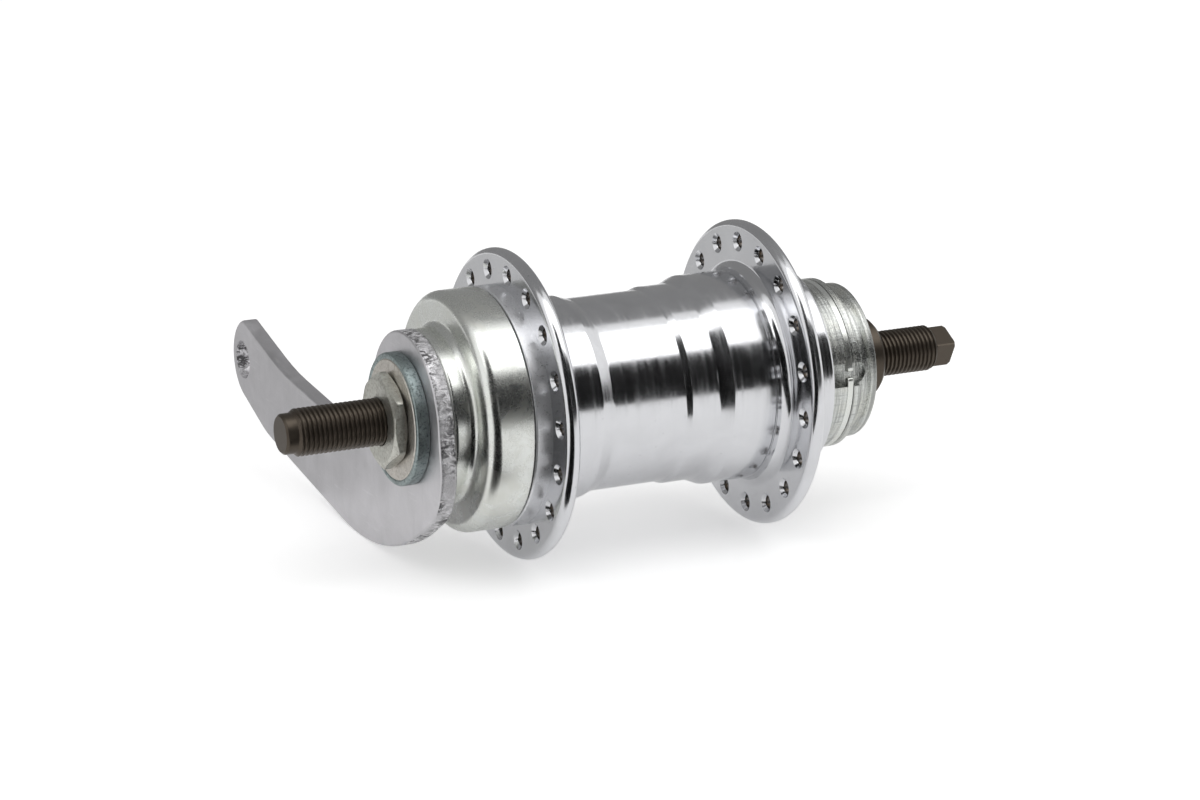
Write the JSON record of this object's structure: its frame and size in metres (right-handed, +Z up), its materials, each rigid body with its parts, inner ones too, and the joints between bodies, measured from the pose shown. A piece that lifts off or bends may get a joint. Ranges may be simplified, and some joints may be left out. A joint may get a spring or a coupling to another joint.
{
  "type": "coaster brake rear hub",
  "caption": "Rear bicycle hub with a coaster brake: chromed flanged shell, roller clutch driver with lug slots, threaded axle and brake arm.",
  "frame": {"origin": "on the axle line, midway between the two faces that the frame's dropouts clamp", "axes": "+X forward on the bicycle, +Y along the axle to the brake arm side (rider's left), +Z up"},
  "size_m": [0.1297, 0.1492, 0.0635],
  "materials": {
    "chrome_shell": "polished chrome plate",
    "zinc_cap": "bright zinc plate with a faint green and blue tint",
    "zinc_driver": "zinc plate over turned steel",
    "zinc_washer": "coarse zinc plate",
    "zinc_locknut": "dull zinc plate",
    "arm_plate": "satin plated plate with a sheared edge",
    "black_oxide": "dark brown-black oxide",
    "spring_steel": "bright spring steel",
    "bearing_steel": "polished and hardened",
    "cage_steel": "pressed sheet",
    "hardened_steel": "ground and oiled"
  },
  "bodies": {
    "axle_group": {"axle": "black_oxide", "fixed_cone": "black_oxide", "locknut": "zinc_locknut", "arm_washer": "zinc_washer", "brake_arm": "arm_plate", "left_dust_cap": "zinc_cap", "lever_cone": "hardened_steel", "brake_sleeve": "hardened_steel"},
    "shell": {"hub_barrel": "chrome_shell", "left_flange": "chrome_shell", "right_flange": "chrome_shell", "left_ball_cup": "hardened_steel", "right_ball_cup": "chrome_shell", "shell_dust_ring": "cage_steel"},
    "driver": {"driver": "zinc_driver", "snap_ring": "spring_steel", "driver_dust_cap": "cage_steel"},
    "left_bearing": {"left_balls": "bearing_steel", "left_ball_cage": "cage_steel"},
    "right_bearing": {"right_balls": "bearing_steel", "right_ball_cage": "cage_steel"},
    "cone_bearing": {"cone_balls": "bearing_steel", "cone_ball_cage": "cage_steel"},
    "roller_cage": {"roller_cage": "hardened_steel"},
    "brake_cone": {"brake_cone": "hardened_steel", "drag_ring": "spring_steel"},
    "roller_1": {"drive_roller_1": "bearing_steel"},
    "roller_2": {"drive_roller_2": "bearing_steel"},
    "roller_3": {"drive_roller_3": "bearing_steel"},
    "roller_4": {"drive_roller_4": "bearing_steel"},
    "roller_5": {"drive_roller_5": "bearing_steel"}
  },
  "joints": [
    {"name": "shell_spin", "type": "hinge", "parent": "axle_group", "child": "shell", "pos_m": [0, 0, 0], "axis": [0, 1, 0], "continuous": true},
    {"name": "driver_spin", "type": "hinge", "parent": "axle_group", "child": "driver", "pos_m": [0, 0, 0], "axis": [0, 1, 0], "continuous": true},
    {"name": "left_bearing_roll", "type": "hinge", "parent": "axle_group", "child": "left_bearing", "pos_m": [0, 0, 0], "axis": [0, 1, 0], "continuous": true},
    {"name": "right_bearing_roll", "type": "hinge", "parent": "axle_group", "child": "right_bearing", "pos_m": [0, 0, 0], "axis": [0, 1, 0], "continuous": true},
    {"name": "cone_bearing_roll", "type": "hinge", "parent": "axle_group", "child": "cone_bearing", "pos_m": [0, 0, 0], "axis": [0, 1, 0], "continuous": true},
    {"name": "clutch_turn", "type": "hinge", "parent": "driver", "child": "roller_cage", "pos_m": [0, 0, 0], "axis": [0, 1, 0], "range_deg": [0, 24]},
    {"name": "brake_cone_slide", "type": "slide", "parent": "roller_cage", "child": "brake_cone", "axis": [0, 1, 0], "range_m": [0, 0.002]},
    {"name": "roller_1_drop", "type": "slide", "parent": "roller_cage", "child": "roller_1", "axis": [0, 0, -1], "range_m": [0, 0.0005]},
    {"name": "roller_2_drop", "type": "slide", "parent": "roller_cage", "child": "roller_2", "axis": [-0.9511, 0, -0.309], "range_m": [0, 0.0005]},
    {"name": "roller_3_drop", "type": "slide", "parent": "roller_cage", "child": "roller_3", "axis": [-0.5878, 0, 0.809], "range_m": [0, 0.0005]},
    {"name": "roller_4_drop", "type": "slide", "parent": "roller_cage", "child": "roller_4", "axis": [0.5878, 0, 0.809], "range_m": [0, 0.0005]},
    {"name": "roller_5_drop", "type": "slide", "parent": "roller_cage", "child": "roller_5", "axis": [0.9511, 0, -0.309], "range_m": [0, 0.0005]}
  ],
  "couplings": [
    {"joint": "left_bearing_roll", "follows": "shell_spin", "ratio": 0.56271},
    {"joint": "right_bearing_roll", "follows": "shell_spin", "ratio": 0.55917},
    {"joint": "cone_bearing_roll", "follows": "driver_spin", "ratio": 0.58173},
    {"joint": "brake_cone_slide", "follows": "clutch_turn", "m_per_rad": 0.0047746},
    {"joint": "roller_1_drop", "follows": "clutch_turn", "m_per_rad": 0.0011937},
    {"joint": "roller_2_drop", "follows": "clutch_turn", "m_per_rad": 0.0011937},
    {"joint": "roller_3_drop", "follows": "clutch_turn", "m_per_rad": 0.0011937},
    {"joint": "roller_4_drop", "follows": "clutch_turn", "m_per_rad": 0.0011937},
    {"joint": "roller_5_drop", "follows": "clutch_turn", "m_per_rad": 0.0011937}
  ]
}
